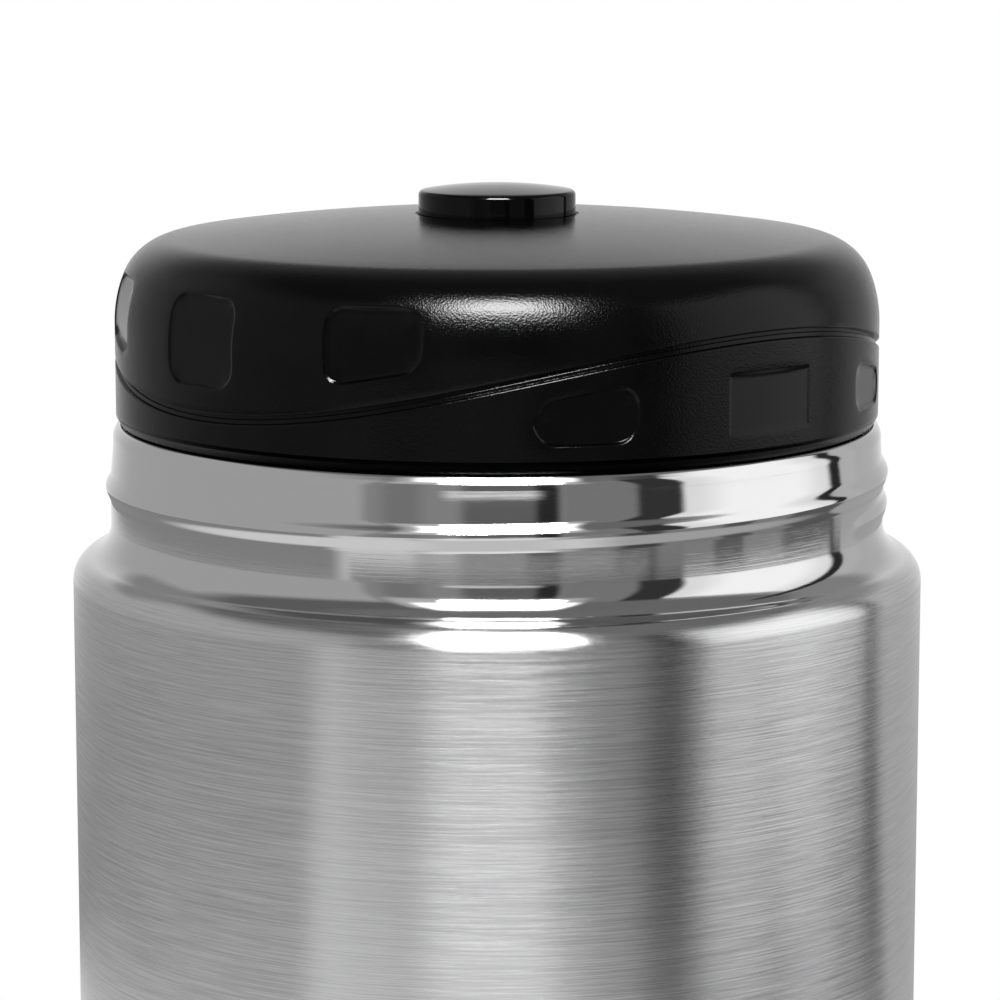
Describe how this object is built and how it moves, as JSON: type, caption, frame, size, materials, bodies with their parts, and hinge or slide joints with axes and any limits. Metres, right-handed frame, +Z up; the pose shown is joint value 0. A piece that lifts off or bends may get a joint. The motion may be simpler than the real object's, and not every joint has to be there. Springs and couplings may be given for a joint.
{
  "type": "insulated food jar",
  "caption": "Double-wall steel food jar with a screw-in black stopper lid, a wavy parting groove, grip recesses and a pressure-release button.",
  "frame": {"origin": "centre of the circle that the jar stands on", "axes": "+Z up along the jar's axis, -Y towards the viewer of the picture, +X to the viewer's right"},
  "size_m": [0.1, 0.1, 0.1383],
  "materials": {
    "brushed_steel": "brushed round the body, polished on the neck",
    "liner_steel": "satin",
    "plain_steel": "mill finish",
    "getter_alloy": "sintered",
    "bright_foil": "bright rolled foil",
    "soft_grey_pad": "matt silicone",
    "grained_black_plastic": "fine leather grain",
    "smooth_black_plastic": "smooth satin",
    "gloss_black_plastic": "high gloss",
    "black_silicone": "matt",
    "insulation": "rigid foam",
    "spring_steel": "bright wire"
  },
  "bodies": {
    "jar": {"outer_shell": "brushed_steel", "inner_liner": "liner_steel", "shell_bottom": "plain_steel", "vacuum_plug": "plain_steel", "getter": "getter_alloy", "liner_foil": "bright_foil", "base_cap": "brushed_steel", "base_pad": "soft_grey_pad"},
    "seal": {"mouth_gasket": "black_silicone"},
    "foam": {"stopper_foam": "insulation"},
    "lid": {"lid_dome": "grained_black_plastic", "grip_ring": "grained_black_plastic", "stopper_body": "smooth_black_plastic", "stopper_cap": "smooth_black_plastic", "stem_sleeve": "smooth_black_plastic", "button_guide": "smooth_black_plastic", "button_spring": "spring_steel"},
    "button": {"release_button": "gloss_black_plastic", "valve_stem": "smooth_black_plastic", "stem_oring": "black_silicone", "valve_seal": "black_silicone", "seal_retainer": "smooth_black_plastic"}
  },
  "joints": [
    {"name": "lid_lift", "type": "slide", "parent": "jar", "child": "seal", "axis": [0, 0, 1], "range_m": [0, 0.072]},
    {"name": "lid_rise", "type": "slide", "parent": "seal", "child": "foam", "axis": [0, 0, 1], "range_m": [0, 0.0059]},
    {"name": "lid_turn", "type": "hinge", "parent": "foam", "child": "lid", "pos_m": [0, 0, 0.12], "axis": [0, 0, 1], "range_deg": [0, 540]},
    {"name": "button_press", "type": "slide", "parent": "lid", "child": "button", "axis": [0, 0, -1], "range_m": [0, 0.0018], "stiffness_N_per_m": 1500, "springref_m": -0.003, "deforming": ["button_spring"]}
  ],
  "couplings": [
    {"joint": "lid_rise", "follows": "lid_turn", "m_per_rad": 0.0006207}
  ]
}
